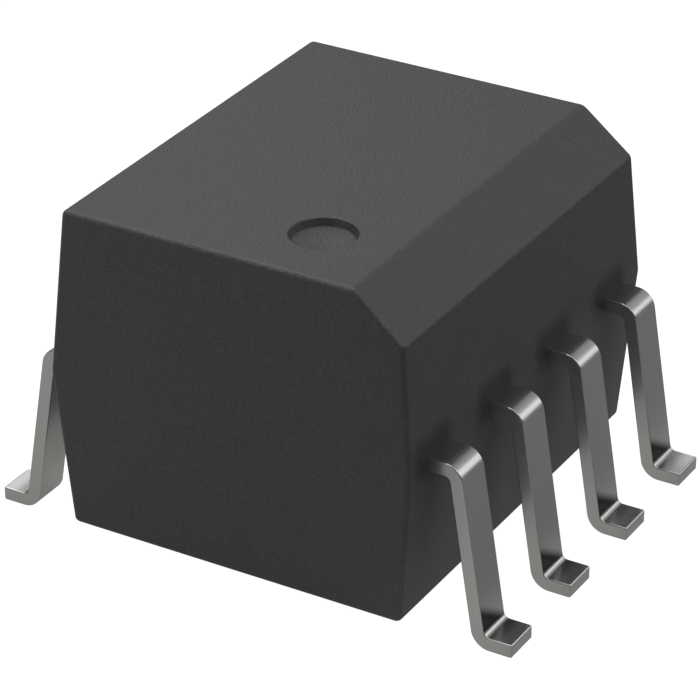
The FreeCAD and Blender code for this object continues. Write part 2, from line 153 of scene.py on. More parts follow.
def strip_surface(line, widths):
    """A strip of sheet metal along a line in the XZ plane, closed at both ends.

    Each point is the line's own point, plus its place across the strip along Y, plus its place
    out of the face along the line's normal. Towards an end the section draws in by what a
    quarter circle of the end's edge takes off, and its corners get sharper by half of that. Each
    point also gets its length along the line from the body's side, and its place across, for the
    finish to follow."""
    runs = np.diff(line, axis=0)
    lengths = np.linalg.norm(runs, axis=1)
    apart = lengths > SAME_PLACE
    ways = runs[apart] / lengths[apart][:, None]
    number = np.cumsum(np.concatenate([[0], apart])).astype(int)
    before = ways[np.clip(number - 1, 0, len(ways) - 1)]
    after = ways[np.clip(number, 0, len(ways) - 1)]
    tangent = before + after
    stretch = 2 / np.linalg.norm(tangent, axis=1)
    tangent /= np.linalg.norm(tangent, axis=1)[:, None]
    turn = np.radians(np.linspace(0, 90, STRIP_END_POINTS))
    drawn = END_EDGE * (1 - np.sin(turn))
    first = line[0] + END_EDGE * (1 - np.cos(turn))[:, None] * tangent[0]
    last = line[-1] - drawn[:, None] * tangent[-1]
    line = np.concatenate([first, line[1:-1], last])
    inset = np.concatenate([drawn, np.zeros(len(widths) - 2), END_EDGE * (1 - np.cos(turn))])
    last_row = len(widths) - 1
    ends = np.repeat([0, last_row], STRIP_END_POINTS).reshape(2, -1)
    rows = np.concatenate([ends[0], np.arange(1, last_row), ends[1]])
    tangent, stretch, widths = tangent[rows], stretch[rows], widths[rows]
    radius = STAMPED_EDGE - 0.5 * inset
    low, high = widths[:, 0] + inset, widths[:, 1] - inset
    across, out = strip_section(low, high, LEAD_THICKNESS - 2 * inset, radius)
    normal = np.stack([-tangent[:, 1], tangent[:, 0]], axis=1)
    x = line[:, :1] + out * normal[:, :1] * stretch[:, None]
    z = line[:, 1:] + out * normal[:, 1:] * stretch[:, None]
    steps = np.linalg.norm(np.diff(line, axis=0), axis=1)
    along = np.concatenate([[0], np.cumsum(steps)])
    along -= np.interp(body_high[0], line[:, 0], along)
    places = np.stack([np.broadcast_to(along[:, None], across.shape), across], axis=-1)
    return np.stack([x, across, z], axis=-1), places, out / (LEAD_THICKNESS / 2)


def new_piece(name, points, faces):
    """A mesh object at the origin, from points in millimetres and lists of corner numbers."""
    mesh = bpy.data.meshes.new(name)
    mesh.from_pydata(np.asarray(points) * MM, [], faces)
    mesh.shade_smooth()
    piece = bpy.data.objects.new(name, mesh)
    bpy.context.scene.collection.objects.link(piece)
    return piece


def ring_faces(rings, count):
    """Quads between rings of count points, each ring joined to the next and closed on itself."""
    first = np.arange(rings - 1)[:, None] * count
    here = np.arange(count)
    following = (here + 1) % count
    quads = [first + here, first + following, first + count + following, first + count + here]
    return np.stack(quads, axis=-1).reshape(-1, 4).tolist()


def cap_faces(ring_start, count, pole, upward):
    """Triangles from a ring of count points to one pole."""
    here = ring_start + np.arange(count)
    following = ring_start + (np.arange(count) + 1) % count
    order = [here, following] if upward else [following, here]
    return np.stack(order + [np.full(count, pole)], axis=-1).tolist()


def even_shading(piece):
    """Lets large flat faces set the shading of their edges, so that only the roundings bend it.

    A point's normal is the sum of its faces' normals, each times the square of the face's area."""
    mesh = piece.data
    faces, corners = len(mesh.polygons), len(mesh.loops)
    normals, areas = np.empty(3 * faces), np.empty(faces)
    sides, points = np.empty(faces, int), np.empty(corners, int)
    mesh.polygons.foreach_get("normal", normals)
    mesh.polygons.foreach_get("area", areas)
    mesh.polygons.foreach_get("loop_total", sides)
    mesh.loops.foreach_get("vertex_index", points)
    weighted = normals.reshape(-1, 3) * (areas[:, None] / areas.max()) ** 2
    sums = np.zeros((len(mesh.vertices), 3))
    np.add.at(sums, points, np.repeat(weighted, sides, axis=0))
    mesh.normals_split_custom_set_from_vertices(sums / np.linalg.norm(sums, axis=1)[:, None])


def build_lead(number, jog, steps):
    """One lead in its own frame, reaching out along +X, then turned and moved to its place.

    jog is 1 where the inner end steps up, -1 where it steps down and 0 where it stays level. Leads
    1 to 4 stand on the right from the front back, and 5 to 8 on the left from the back forward."""
    level = lead_top - LEAD_THICKNESS / 2
    jog_start = body_high[0] - JOG_DEPTH
    jog_end = jog_start - frame_offset / math.tan(JOG_ANGLE)
    shift = jog * LEAD_THICKNESS * math.tan(JOG_ANGLE / 2) / 2
    inner = [(steps[0][0], level + jog * frame_offset)]
    if jog:
        inner += [(jog_end - shift, level + jog * frame_offset), (jog_start - shift, level)]
    foot_level = LEAD_THICKNESS / 2
    outer = [(shoulder_x - leg_across / 2, level)]
    outer += [(heel_x - leg_across / 2, foot_level), (toe_x, foot_level)]
    line, widths = with_steps(bent_line(inner + outer, BEND_RADIUS + LEAD_THICKNESS / 2), steps)
    points, places, sides = strip_surface(line, widths)
    right = number <= 4
    row = number - 2.5 if right else 6.5 - number
    if not right:
        points = points * [-1, -1, 1]
    points = points + [0, row * PITCH, 0]
    rings, count = points.shape[:2]
    points = points.reshape(-1, 3)
    places = places.reshape(-1, 2)
    ends = [points[:count].mean(0), points[-count:].mean(0)]
    place_ends = [places[:count].mean(0), places[-count:].mean(0)]
    faces = ring_faces(rings, count)
    faces += cap_faces(0, count, rings * count, False)
    faces += cap_faces((rings - 1) * count, count, rings * count + 1, True)
    strip = new_piece(f"lead_{number}_strip", np.concatenate([points, ends]), faces)
    corners = np.empty(len(strip.data.loops), dtype=int)
    strip.data.loops.foreach_get("vertex_index", corners)
    layer = strip.data.uv_layers.new(name="millimetres_along_and_across")
    layer.data.foreach_set("uv", np.concatenate([places, place_ends])[corners].ravel())
    side = strip.data.attributes.new("sheet_side", "FLOAT", "POINT")
    side.data.foreach_set("value", np.concatenate([sides.ravel(), [0, 0]]))
    return strip


def linear(code):
    """An sRGB hex colour as the linear colour that shaders take."""
    parts = [int(code[place : place + 2], 16) / 255 for place in (1, 3, 5)]
    return tuple(p / 12.92 if p <= 0.04045 else ((p + 0.055) / 1.055) ** 2.4 for p in parts) + (1.0,)


def new_material(name):
    """A new material with nothing in it but its output node, and that node."""
    material = bpy.data.materials.new(name)
    material.use_nodes = True
    material.node_tree.nodes.clear()
    output = material.node_tree.nodes.new("ShaderNodeOutputMaterial")
    return material, output


def add(tree, kind, settings=None, links=None, values=None):
    """Adds a node, with its settings, its input values and its input links."""
    node = tree.nodes.new("ShaderNode" + kind)
    for name, setting in (settings or {}).items():
        setattr(node, name, setting)
    for socket, number in (values or {}).items():
        node.inputs[socket].default_value = number
    for socket, source in (links or {}).items():
        tree.links.new(source, node.inputs[socket])
    return node


def tin_plate():
    """Copper alloy strip under matt tin plate."""
    # Plating leaves a satin white metal. It follows the sheet's rolling lines, which run along the
    # strip, and scatters a reflection by some ten degrees. Close to the body, in the inside corner
    # of the heel and on the foot beside it, painted shade turns the sheet's upper face near black.
    # The real grain is about 0.005 mm, and it is drawn at 0.02 mm so that it shows.
    grain_mm = 0.02
    grain_height_mm = 0.001
    rolling_mm = (0.6, 0.03)
    roughness = (0.21, 0.29)
    # Where shade is painted near the body, in the heel's inside corner and on the foot, and how dark
    neck_shade_mm = (0.14, 0.3)
    neck_shade_level = 0.45
    corner_low_mm = 0.185
    corner_high_mm = 0.325
    corner_slope = 0.6
    corner_fade_mm = 0.07
    corner_edge_mm = 0.015
    foot_mm = (2.8, 2.94)
    foot_shade_level = 0.45
    foot_top_mm = (LEAD_THICKNESS + 0.0005, LEAD_THICKNESS + 0.006)
    upper_share = (0.93, 0.99)
    material, output = new_material("matt_tin_plate")
    tree = material.node_tree
    place = add(tree, "TexCoord").outputs["Object"]
    axes = add(tree, "SeparateXYZ", None, {"Vector": place})
    height = axes.outputs["Z"]
    strip = add(tree, "UVMap").outputs["UV"]
    along = add(tree, "SeparateXYZ", None, {"Vector": strip})
    grain = add(tree, "TexNoise", None, {"Vector": place}, {"Scale": 1 / (grain_mm * MM), "Detail": 2.0})
    stretched = add(
        tree,
        "Mapping",
        None,
        {"Vector": strip},
        {"Scale": (1 / rolling_mm[0], 1 / rolling_mm[1], 1.0)},
    )
    rolled = add(
        tree,
        "TexNoise",
        None,
        {"Vector": stretched.outputs["Vector"]},
        {"Scale": 1.0, "Detail": 3.0},
    )
    rough = add(
        tree,
        "MapRange",
        None,
        {"Value": rolled.outputs["Fac"]},
        {"To Min": roughness[0], "To Max": roughness[1]},
    )
    # Painted shade on the upper face where the lead leaves the body, fading out along the strip
    neck = add(
        tree,
        "MapRange",
        {"interpolation_type": "SMOOTHSTEP"},
        {"Value": along.outputs["X"]},
        {"From Min": neck_shade_mm[0], "From Max": neck_shade_mm[1], "To Min": neck_shade_level, "To Max": 0.0},
    )
    # Painted shade in the inside corner of the heel, up the leg to a slanting line
    tilted = add(
        tree,
        "Math",
        {"operation": "MULTIPLY_ADD"},
        {0: along.outputs["Y"], 2: height},
        {1: corner_slope * MM},
    )
    below = add(
        tree,
        "MapRange",
        {"interpolation_type": "SMOOTHSTEP"},
        {"Value": tilted.outputs["Value"]},
        {
            "From Min": (corner_high_mm - corner_fade_mm) * MM,
            "From Max": (corner_high_mm + corner_fade_mm) * MM,
            "To Min": 1.0,
            "To Max": 0.0,
        },
    )
    above = add(
        tree,
        "MapRange",
        None,
        {"Value": height},
        {"From Min": corner_low_mm * MM, "From Max": (corner_low_mm + corner_edge_mm) * MM},
    )
    corner = add(
        tree,
        "Math",
        {"operation": "MULTIPLY"},
        {0: below.outputs["Result"], 1: above.outputs["Result"]},
    )
    outward = add(tree, "Math", {"operation": "ABSOLUTE"}, {0: axes.outputs["X"]})
    # Painted shade on the foot's top beside the heel
    near_heel = add(
        tree,
        "MapRange",
        {"interpolation_type": "SMOOTHSTEP"},
        {"Value": outward.outputs["Value"]},
        {
            "From Min": foot_mm[0] * MM,
            "From Max": foot_mm[1] * MM,
            "To Min": foot_shade_level,
            "To Max": 0.0,
        },
    )
    on_foot = add(
        tree,
        "MapRange",
        None,
        {"Value": height},
        {
            "From Min": foot_top_mm[0] * MM,
            "From Max": foot_top_mm[1] * MM,
            "To Min": 1.0,
            "To Max": 0.0,
        },
    )
    foot = add(
        tree,
        "Math",
        {"operation": "MULTIPLY"},
        {0: near_heel.outputs["Result"], 1: on_foot.outputs["Result"]},
    )
    heel = add(
        tree,
        "Math",
        {"operation": "MAXIMUM"},
        {0: corner.outputs["Value"], 1: foot.outputs["Value"]},
    )
    # The three painted shades together, then kept to the sheet's upper face
    painted_shade = add(
        tree,
        "Math",
        {"operation": "MAXIMUM"},
        {0: neck.outputs["Result"], 1: heel.outputs["Value"]},
    )
    side = add(tree, "Attribute", {"attribute_name": "sheet_side"}).outputs["Fac"]
    upper = add(
        tree,
        "MapRange",
        None,
        {"Value": side},
        {"From Min": upper_share[0], "From Max": upper_share[1]},
    )
    painted_shade = add(
        tree,
        "Math",
        {"operation": "MULTIPLY"},
        {0: painted_shade.outputs["Value"], 1: upper.outputs["Result"]},
    )
    # The tin's own colour, turned towards near black by the painted shade
    colour = add(tree, "Mix", {"data_type": "RGBA"}, {"Factor": painted_shade.outputs["Value"]})
    colour.inputs["A"].default_value = linear("#d9d9d7")
    colour.inputs["B"].default_value = linear("#0c0c0c")
    bump = add(
        tree,
        "Bump",
        None,
        {"Height": grain.outputs["Fac"]},
        {"Strength": 0.1, "Distance": grain_height_mm * MM},
    )
    shader = add(
        tree,
        "BsdfPrincipled",
        None,
        {
            "Base Color": colour.outputs["Result"],
            "Roughness": rough.outputs["Result"],
            "Normal": bump.outputs["Normal"],
        },
        {"Metallic": 1.0},
    )
    tree.links.new(shader.outputs["BSDF"], output.inputs["Surface"])
    return material


# Which way each lead's inner end steps, and how far its two edges lie from its middle line from
# each place along X on
inner_ends = {
    1: (0, [(lead_low[0], plain)]),
    2: (1, [(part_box("lead_2")[0][0] / MM, plain)]),
    3: (
        1,
        [
            (led_low[0], (led_low[1] - PITCH / 2, half_width)),
            (led_low[0] + LED_PAD_LENGTH, plain),
        ],
    ),
    4: (0, [(lead_low[0], plain)]),
    5: (
        -1,
        [
            (-pad_high[0], (pad_near, pad_far)),
            (pad_high[0] - ARM_WIDTH, (-half_width, pad_far)),
            (pad_high[0], plain),
        ],
    ),
    6: (-1, [(-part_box("lead_6")[1][0] / MM, plain)]),
    7: (-1, [(-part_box("lead_7")[1][0] / MM, plain)]),
    8: (-1, [(-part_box("lead_8")[1][0] / MM, plain)]),
}
tin = tin_plate()
for number, (jog, steps) in inner_ends.items():
    strip = build_lead(number, jog, steps + anchor)
    even_shading(strip)
    strip.data.materials.append(tin)
    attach(strip, "root")
    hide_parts(f"lead_{number}")

# Die attach
# A film of epoxy filled with silver flakes for each die, dispensed on its pad as a paste and cured
# to hold the die and to lead its heat away.


def grained(name, grain_mm, colours, roughness, bump_mm, values=None):
    """A material whose colour, roughness and height follow one fine noise through the piece."""
    material, output = new_material(name)
    tree = material.node_tree
    place = add(tree, "TexCoord").outputs["Object"]
    grain = add(tree, "TexNoise", None, {"Vector": place}, {"Scale": 1 / (grain_mm * MM), "Detail": 3.0})
    colour = add(tree, "Mix", {"data_type": "RGBA"}, {"Factor": grain.outputs["Fac"]})
    colour.inputs["A"].default_value = linear(colours[0])
    colour.inputs["B"].default_value = linear(colours[1])
    rough = add(
        tree,
        "MapRange",
        None,
        {"Value": grain.outputs["Fac"]},
        {"To Min": roughness[0], "To Max": roughness[1]},
    )
    bump = add(
        tree,
        "Bump",
        None,
        {"Height": grain.outputs["Fac"]},
        {"Strength": 0.5, "Distance": bump_mm * MM},
    )
    shader = add(
        tree,
        "BsdfPrincipled",
        None,
        {
            "Base Color": colour.outputs["Result"],
            "Roughness": rough.outputs["Result"],
            "Normal": bump.outputs["Normal"],
        },
        values,
    )
    tree.links.new(shader.outputs["BSDF"], output.inputs["Surface"])
    return material


def dress(nodes, material):
    """Gives carried-over nodes a material in each of their slots."""
    for node in nodes:
        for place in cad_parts[node].material_slots:
            place.material = material


# Silver-filled adhesive: flakes about 0.012 mm wide in resin, which glitter dully
adhesive = grained(
    "silver_filled_adhesive",
    grain_mm=0.012,
    colours=("#8f8d88", "#cbc9c3"),
    roughness=(0.4, 0.6),
    bump_mm=0.002,
    values={"Metallic": 1.0},
)
dress(["led_die_attach", "detector_die_attach"], adhesive)

# Dies
# The emitter is a sawn block of gallium arsenide that hangs face down under lead 3's pad. The
# detector is a block of silicon that lies face up on lead 5's, under it.

# Sawn gallium arsenide: dark grey with a dull shine, and chips about 0.01 mm wide from the saw
emitter = grained(
    "sawn_gallium_arsenide",
    grain_mm=0.01,
    colours=("#2e2b2b", "#55504c"),
    roughness=(0.25, 0.4),
    bump_mm=0.001,
)
dress(["led_die"], emitter)

# Silicon under glass passivation: near black with a blue cast and smooth enough to shine, with a
# mottle of circuit blocks about 0.06 mm wide
silicon = grained(
    "passivated_silicon",
    grain_mm=0.06,
    colours=("#20242e", "#3b4152"),
    roughness=(0.1, 0.2),
    bump_mm=0.0005,
)
dress(["detector_die"], silicon)

# Bond wires
# Five drawn gold wires, welded with heat and ultrasound to pads on the dies and to the inner ends
# of the leads.

# Drawn gold wire: bright and warm, with marks about 0.008 mm wide from the hole it was drawn
# through
gold = grained(
    "drawn_gold_wire",
    grain_mm=0.008,
    colours=("#d9ae57", "#f0cf84"),
    roughness=(0.14, 0.24),
    bump_mm=0.0003,
    values={"Metallic": 1.0},
)
wires = ["anode", "ground", "output", "enable", "supply"]
dress([f"bond_wire_{name}" for name in wires], gold)

# Coupling gel
# A drop of clear silicone between the two dies, poured and cured there to carry the emitter's
# light across to the detector.

# Clear silicone gel: glassy, with a faint haze in clouds about 0.1 mm wide, which softens what
# lies behind it
silicone = grained(
    "clear_silicone_gel",
    grain_mm=0.1,
    colours=("#eef2f2", "#fafbfb"),
    roughness=(0.03, 0.09),
    bump_mm=0.001,
    values={"Transmission Weight": 1.0, "IOR": 1.41},
)
dress(["coupling_gel"], silicone)

# White moulding
# Epoxy compound filled with white pigment, moulded round the pads, dies and gel before the black
# one. It keeps the light in and the two rows of leads apart.

# White epoxy moulding compound: a matt cream, with glass filler in grains about 0.04 mm wide
white_compound = grained(
    "white_epoxy_moulding_compound",
    grain_mm=0.04,
    colours=("#dedbd2", "#f0eee8"),
    roughness=(0.45, 0.6),
    bump_mm=0.004,
)
dress(["inner_mould"], white_compound)

# Moulded body
# The outside of the chip is one block of black epoxy moulding compound, cast round the leads in a
# two-part cavity. The walls lean in from the parting line at the top of the leads, so that the
# block lets go of the cavity, and the cavity's corners and edges leave it softly rounded.

SIDE_DRAFT = math.radians(4.7)
END_DRAFT = math.radians(2.8)
CHAMFER_DROP = 0.48
CHAMFER_ANGLE = math.radians(40)
EDGE_RADIUS = 0.06
RIDGE_RADIUS = 0.13
BOTTOM_RADIUS = 0.065
CORNER_SHARE_AT_FACE = 0.25
DIMPLE_RADIUS = 0.345
DIMPLE_DEPTH = 0.10
DIMPLE_DRAFT = math.radians(8)
DIMPLE_FROM_CHAMFER = 0.83
DIMPLE_FROM_END = 0.87
DIMPLE_EDGE_RADIUS = 0.018
DIMPLE_FOOT_RADIUS = 0.02
DIMPLE_COLLAR_SHARE = 1.3
DIMPLE_MIDDLE_SHARE = 0.5
DIMPLE_EDGE_POINTS = 6
ROUNDING_LEVELS = 13
WALL_LEVELS = 5
CHAMFER_LEVELS = 4
BEND_REACH = 0.6
CORNER_POINTS = 9
SIDE_POINTS = 24


def round_over(z, x, corner, first, second, radius):
    """Replaces a profile x(z) near a corner by the circle that touches both of its lines.

    first and second are the outward normals of the lines, as angles up from the X axis. The circle's
    centre lies one radius inside both lines, and it touches each where its own radius is that
    line's normal."""
    normals = np.array([[math.cos(a), math.sin(a)] for a in (first, second)])
    centre = corner - radius * normals.sum(0) / (1 + normals[0] @ normals[1])
    touch_low, touch_high = centre[1] + radius * normals[:, 1]
    on_circle = centre[0] + np.sqrt(np.maximum(radius**2 - (z - centre[1]) ** 2, 0))
    return np.where((z > touch_low) & (z <= touch_high), on_circle, x)


def body_levels():
    """Heights of the body's sections, close together where an edge is rounded.

    The sections of a rounded edge stand at equal angles of its quarter circle."""
    quarter = np.radians(np.linspace(0, 90, ROUNDING_LEVELS))
    bottom = body_low[2] + BOTTOM_RADIUS * (1 - np.cos(quarter))
    top = body_high[2] - EDGE_RADIUS * (1 - np.sin(quarter))
    reach = np.linspace(-BEND_REACH, BEND_REACH, ROUNDING_LEVELS)
    bend = body_high[2] - CHAMFER_DROP + EDGE_RADIUS * reach
    lower = np.linspace(bottom[-1], lead_top, WALL_LEVELS)[1:]
    upper = np.linspace(lead_top, bend[0], WALL_LEVELS)[1:-1]
    chamfer = np.linspace(bend[-1], top[0], CHAMFER_LEVELS)[1:-1]
    return np.concatenate([bottom, lower, upper, bend, chamfer, top])


def body_section_sizes(z):
    """Left, right and end distances of the section at each height z, and its corner radius.

    A wall's distance from the middle falls with the height from the parting line times the
    tangent of its draft. Next to the top and bottom faces, each distance loses what a quarter
    circle of the edge radius takes off it."""
    rise = np.abs(z - lead_top)
    left = body_high[0] - rise * math.tan(SIDE_DRAFT)
    end = body_high[1] - rise * math.tan(END_DRAFT)
    depth = np.minimum(z - body_low[2], body_high[2] - z)
    rounding = np.where(z < lead_top, BOTTOM_RADIUS, EDGE_RADIUS)
    into = np.clip(1 - depth / rounding, 0, 1)
    lost = rounding * (1 - np.sqrt(1 - into**2))
    foot_z = body_high[2] - CHAMFER_DROP
    foot_x = body_high[0] - (foot_z - lead_top) * math.tan(SIDE_DRAFT)
    slope = 1 / math.tan(CHAMFER_ANGLE)
    right = np.where(z > foot_z, foot_x - (z - foot_z) * slope, left)
    chamfer_normal = math.pi / 2 - CHAMFER_ANGLE
    right = round_over(z, right, np.array([foot_x, foot_z]), SIDE_DRAFT, chamfer_normal, EDGE_RADIUS)
    top_corner = np.array([foot_x - CHAMFER_DROP * slope, body_high[2]])
    right = round_over(z, right, top_corner, chamfer_normal, math.pi / 2, RIDGE_RADIUS)
    right = np.where(z < lead_top, left - lost, right)
    corner = EDGE_RADIUS * (CORNER_SHARE_AT_FACE + (1 - CORNER_SHARE_AT_FACE) * np.sqrt(1 - into**2))
    return left - lost, right, end - lost, corner, top_corner[0]


def section_outline(left, right, end, corner, shares):
    """Points of rounded rectangles, one row a section, anticlockwise from the front right corner.

    A corner is a quarter circle about a centre one corner radius in from both sides, and a side
    goes straight to the next corner, with points at fixed shares of its length."""
    centres_x = np.stack([right - corner, right - corner, corner - left, corner - left], axis=1)
    centres_y = np.stack([corner - end, end - corner, end - corner, corner - end], axis=1)
    angle = np.radians(-90 + 90 * np.arange(4)[:, None] + np.linspace(0, 90, CORNER_POINTS))
    arc_x = centres_x[:, :, None] + corner[:, None, None] * np.cos(angle)
    arc_y = centres_y[:, :, None] + corner[:, None, None] * np.sin(angle)
    arcs = np.stack([arc_x, arc_y], axis=-1)
    starts = arcs[:, :, -1, None, :]
    stops = np.roll(arcs[:, :, 0, :], -1, axis=1)[:, :, None, :]
    sides = starts + shares[None, :, :, None] * (stops - starts)
    return np.concatenate([arcs, sides], axis=2).reshape(len(left), -1, 2)


def shares_seen_from(point, corners, count):
    """Shares along each side of a rectangle at which points appear at equal angles from a point."""
    shares = []
    for start, stop in zip(corners, np.roll(corners, -1, axis=0)):
        a, b = start - point, stop - point
        first, last = math.atan2(a[1], a[0]), math.atan2(b[1], b[0])
        turn = (last - first) % (2 * math.pi)
        angle = first + turn * np.arange(1, count + 1) / (count + 1)
        way = np.stack([np.cos(angle), np.sin(angle)])
        side = stop - start
        shares.append(-(a[0] * way[1] - a[1] * way[0]) / (side[0] * way[1] - side[1] * way[0]))
    return np.array(shares)


def build_body():
    """The body as rings from the middle of its bottom face, up its walls and into the dimple.

    Each ring has the same number of points. On the top face a ring's points lie on a circle about
    the dimple, at the directions in which the outline's own points are seen from there. The first
    of these rings is a collar on the flat face, which keeps the rim's bend in the shading short."""
    z = body_levels()
    left, right, end, corner, ridge = body_section_sizes(z)
    dimple = np.array([ridge - DIMPLE_FROM_CHAMFER, 0.0])
    top_end = body_high[1] - (body_high[2] - lead_top) * math.tan(END_DRAFT)
    dimple[1] = DIMPLE_FROM_END - top_end
    far, near = end[-1], -end[-1]
    corners = np.array([[right[-1], near], [right[-1], far], [-left[-1], far], [-left[-1], near]])
    shares = shares_seen_from(dimple, corners, SIDE_POINTS)
    outline = section_outline(left, right, end, corner, shares)
    count = outline.shape[1]
    walls = np.concatenate([outline, np.repeat(z[:, None, None], count, axis=1)], axis=2)
    seen = outline[-1] - dimple
    way = seen / np.linalg.norm(seen, axis=1)[:, None]
    turn = np.linspace(0, math.pi / 2 - DIMPLE_DRAFT, DIMPLE_EDGE_POINTS)
    rim_radius = DIMPLE_RADIUS + DIMPLE_EDGE_RADIUS * (1 - np.sin(turn))
    rim_z = body_high[2] - DIMPLE_EDGE_RADIUS * (1 - np.cos(turn))
    floor_radius = DIMPLE_RADIUS - DIMPLE_DEPTH * math.tan(DIMPLE_DRAFT)
    foot_radius = floor_radius - DIMPLE_FOOT_RADIUS * (1 - np.cos(turn[::-1]))
    foot_z = body_high[2] - DIMPLE_DEPTH + DIMPLE_FOOT_RADIUS * (1 - np.sin(turn[::-1]))
    collar_radius = [DIMPLE_COLLAR_SHARE * DIMPLE_RADIUS]
    middle_radius = [DIMPLE_MIDDLE_SHARE * floor_radius]
    radius = np.concatenate([collar_radius, rim_radius, foot_radius, middle_radius])
    height = np.concatenate([[body_high[2]], rim_z, foot_z, [body_high[2] - DIMPLE_DEPTH]])
    rings = np.concatenate(
        [
            dimple + radius[:, None, None] * way,
            np.repeat(height[:, None, None], count, axis=1),
        ],
        axis=2,
    )
    points = np.concatenate([walls, rings]).reshape(-1, 3)
    total = len(z) + len(radius)
    poles = [[*dimple, body_high[2] - DIMPLE_DEPTH], [0, 0, body_low[2]]]
    faces = ring_faces(total, count)
    faces += cap_faces((total - 1) * count, count, total * count, True)
    faces += cap_faces(0, count, total * count + 1, False)
    return new_piece("body_block", np.concatenate([points, poles]), faces)


def epoxy_compound():
    """Black epoxy moulding compound, cast against a spark-eroded cavity."""
    # The cavity leaves a fine even grain, so the face is matt charcoal with a faint speckle. The
    # real grain is about 0.02 mm, and it is drawn at 0.03 mm so that it shows at this distance.
    # The gloss drifts a little in clouds half a millimetre wide, where the compound flowed.
    # Round each lead the wall is darkened with painted shade, centred a little above the lead's
    # middle and towards the front.
    grain_mm = 0.03
    grain_height_mm = 0.012
    cloud_mm = 0.5
    roughness = (0.44, 0.52)
    # Reach, shift and depth of the painted shade round each lead
    exit_shade_mm = 0.25
    exit_shade_shift_mm = (0.0, 0.13, -0.11)
    exit_shade_strength = 0.8
    material, output = new_material("black_epoxy_moulding_compound")
    tree = material.node_tree
    place = add(tree, "TexCoord").outputs["Object"]
    grain = add(tree, "TexNoise", None, {"Vector": place}, {"Scale": 1 / (grain_mm * MM), "Detail": 3.0})
    cloud = add(tree, "TexNoise", None, {"Vector": place}, {"Scale": 1 / (cloud_mm * MM), "Detail": 2.0})
    # Painted shade round each lead where it leaves the wall: darkest at the lead, fading with distance
    shift = tuple(part * MM for part in exit_shade_shift_mm)
    shifted = add(tree, "VectorMath", {"operation": "ADD"}, {0: place}, {1: shift})
    axes = add(tree, "SeparateXYZ", None, {"Vector": shifted.outputs["Vector"]})
    row = add(tree, "Math", {"operation": "PINGPONG"}, {0: axes.outputs["Y"]}, {1: PITCH / 2 * MM})
    beside = add(
        tree,
        "Math",
        {"operation": "SUBTRACT"},
        {1: row.outputs["Value"]},
        {0: (PITCH - LEAD_WIDTH) / 2 * MM},
    )
    beside = add(tree, "Math", {"operation": "MAXIMUM"}, {0: beside.outputs["Value"]}, {1: 0.0})
    height = add(
        tree,
        "Math",
        {"operation": "SUBTRACT"},
        {0: axes.outputs["Z"]},
        {1: (lead_top - LEAD_THICKNESS / 2) * MM},
    )
    height = add(tree, "Math", {"operation": "ABSOLUTE"}, {0: height.outputs["Value"]})
    height = add(
        tree,
        "Math",
        {"operation": "SUBTRACT"},
        {0: height.outputs["Value"]},
        {1: LEAD_THICKNESS / 2 * MM},
    )
    height = add(tree, "Math", {"operation": "MAXIMUM"}, {0: height.outputs["Value"]}, {1: 0.0})
    away = add(tree, "CombineXYZ", None, {"X": beside.outputs["Value"], "Y": height.outputs["Value"]})
    away = add(tree, "VectorMath", {"operation": "LENGTH"}, {0: away.outputs["Vector"]})
    exit_shade = add(
        tree,
        "MapRange",
        {"interpolation_type": "SMOOTHSTEP"},
        {"Value": away.outputs["Value"]},
        {"From Max": exit_shade_mm * MM, "To Min": exit_shade_strength, "To Max": 0.0},
    )
    speckle = add(tree, "Mix", {"data_type": "RGBA"}, {"Factor": grain.outputs["Fac"]})
    speckle.inputs["A"].default_value = linear("#323232")
    speckle.inputs["B"].default_value = linear("#5a5a5a")
    # The speckle, turned towards near black by the painted shade
    speckle_and_shade = add(
        tree,
        "Mix",
        {"data_type": "RGBA"},
        {"Factor": exit_shade.outputs["Result"], "A": speckle.outputs["Result"]},
    )
    speckle_and_shade.inputs["B"].default_value = linear("#0a0a0a")
    rough = add(
        tree,
        "MapRange",
        None,
        {"Value": cloud.outputs["Fac"]},
        {"To Min": roughness[0], "To Max": roughness[1]},
    )
    bump = add(
        tree,
        "Bump",
        None,
        {"Height": grain.outputs["Fac"]},
        {"Strength": 0.75, "Distance": grain_height_mm * MM},
    )
    shader = add(
        tree,
        "BsdfPrincipled",
        None,
        {
            "Base Color": speckle_and_shade.outputs["Result"],
            "Roughness": rough.outputs["Result"],
            "Normal": bump.outputs["Normal"],
        },
        {"IOR": 1.55},
    )
    tree.links.new(shader.outputs["BSDF"], output.inputs["Surface"])
    return material


body_block = build_body()
even_shading(body_block)
body_block.data.materials.append(epoxy_compound())
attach(body_block, "root")
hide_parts("mould_body")

# Studio
# A pale floor that the chip stands on, a white surround, and soft lamps. The floor and the
# surround are white to the camera and dimmer to the chip, which mirrors a darker room.

FLOOR_HALF = 500
FLOOR_SEEN = 1.0
FLOOR_GLOW = 0.4
FLOOR_MIRRORED = 0.187
SKY_SEEN = 1.0
SKY_DIFFUSE = 0.04
SKY_GLOSSY = 0.055
LAMP_AIM_HEIGHT = 2.0
floor_corners = np.array([[-1, -1, 0], [1, -1, 0], [1, 1, 0], [-1, 1, 0]])
floor = new_piece("studio_floor", floor_corners * FLOOR_HALF, [[0, 1, 2, 3]])


